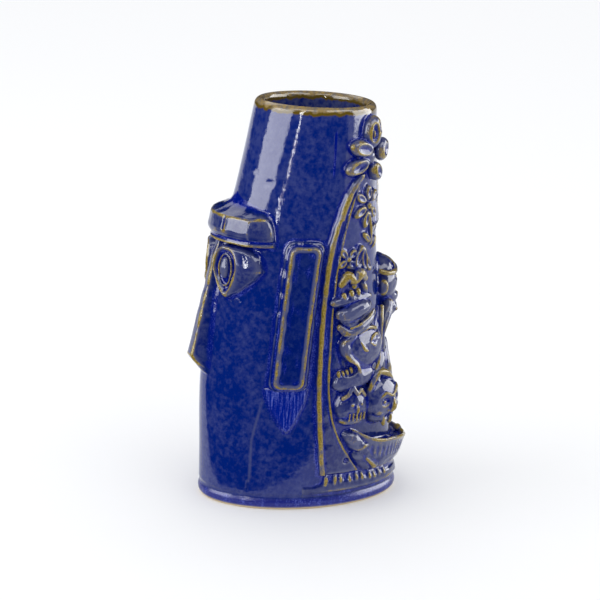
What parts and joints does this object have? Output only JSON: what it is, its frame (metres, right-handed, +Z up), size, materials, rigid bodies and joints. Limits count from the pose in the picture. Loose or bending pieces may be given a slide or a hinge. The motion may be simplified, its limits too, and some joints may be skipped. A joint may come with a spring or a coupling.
{
  "type": "drinking mug",
  "caption": "Tall oval glazed stoneware mug: a carved stone head on its front, and flowers, masks, a figure and a bowl in relief on its back.",
  "frame": {"origin": "middle of the whole's footprint, at the bottom of the foot ring", "axes": "+Z up towards the mouth, -Y out of the stone head's nose, +Y out of the bowl on the back, X across"},
  "size_m": [0.0732, 0.1122, 0.19],
  "materials": {
    "glaze_body": "glossy mottled cobalt reactive glaze that breaks gold-brown on the lip, cream unglazed foot line",
    "glaze_head": "glossy cobalt reactive glaze, gold-tan along the raised edges",
    "glaze_relief": "glossy cobalt glaze thin and grey-violet on the high ground, gold-tan on edges, bright blue where it pools"
  },
  "bodies": {
    "root": {"arch_beam_left": "glaze_relief", "arch_beam_right": "glaze_relief", "bowl": "glaze_relief", "bowl_arm_left": "glaze_relief", "bowl_arm_right": "glaze_relief", "bowl_knee_left": "glaze_relief", "bowl_knee_right": "glaze_relief", "bowl_knob": "glaze_relief", "brow_bar_left": "glaze_relief", "brow_bar_right": "glaze_relief", "brow_ledge": "glaze_head", "crest_leaf": "glaze_relief", "ear_drop_left": "glaze_head", "ear_drop_right": "glaze_head", "ear_left": "glaze_head", "ear_right": "glaze_head", "eye_left": "glaze_head", "eye_right": "glaze_head", "fang_mask_left": "glaze_relief", "fang_mask_right": "glaze_relief", "figure_arm_left": "glaze_relief", "figure_arm_right": "glaze_relief", "figure_cap": "glaze_relief", "figure_head": "glaze_relief", "figure_leg_left": "glaze_relief", "figure_leg_right": "glaze_relief", "figure_torso": "glaze_relief", "flower_left": "glaze_relief", "flower_right": "glaze_relief", "headband_left": "glaze_relief", "headband_right": "glaze_relief", "leaf_fan": "glaze_relief", "leaf_spray_left": "glaze_relief", "leaf_spray_right": "glaze_relief", "lower_mask_left": "glaze_relief", "lower_mask_right": "glaze_relief", "mug_body": "glaze_body", "nose": "glaze_head", "profile_mask_left": "glaze_relief", "profile_mask_right": "glaze_relief", "pupil_left": "glaze_head", "pupil_right": "glaze_head", "reed_skirt_left": "glaze_relief", "reed_skirt_right": "glaze_relief", "small_flower_left": "glaze_relief", "small_flower_right": "glaze_relief", "upper_mask_left": "glaze_relief", "upper_mask_right": "glaze_relief"}
  },
  "joints": []
}
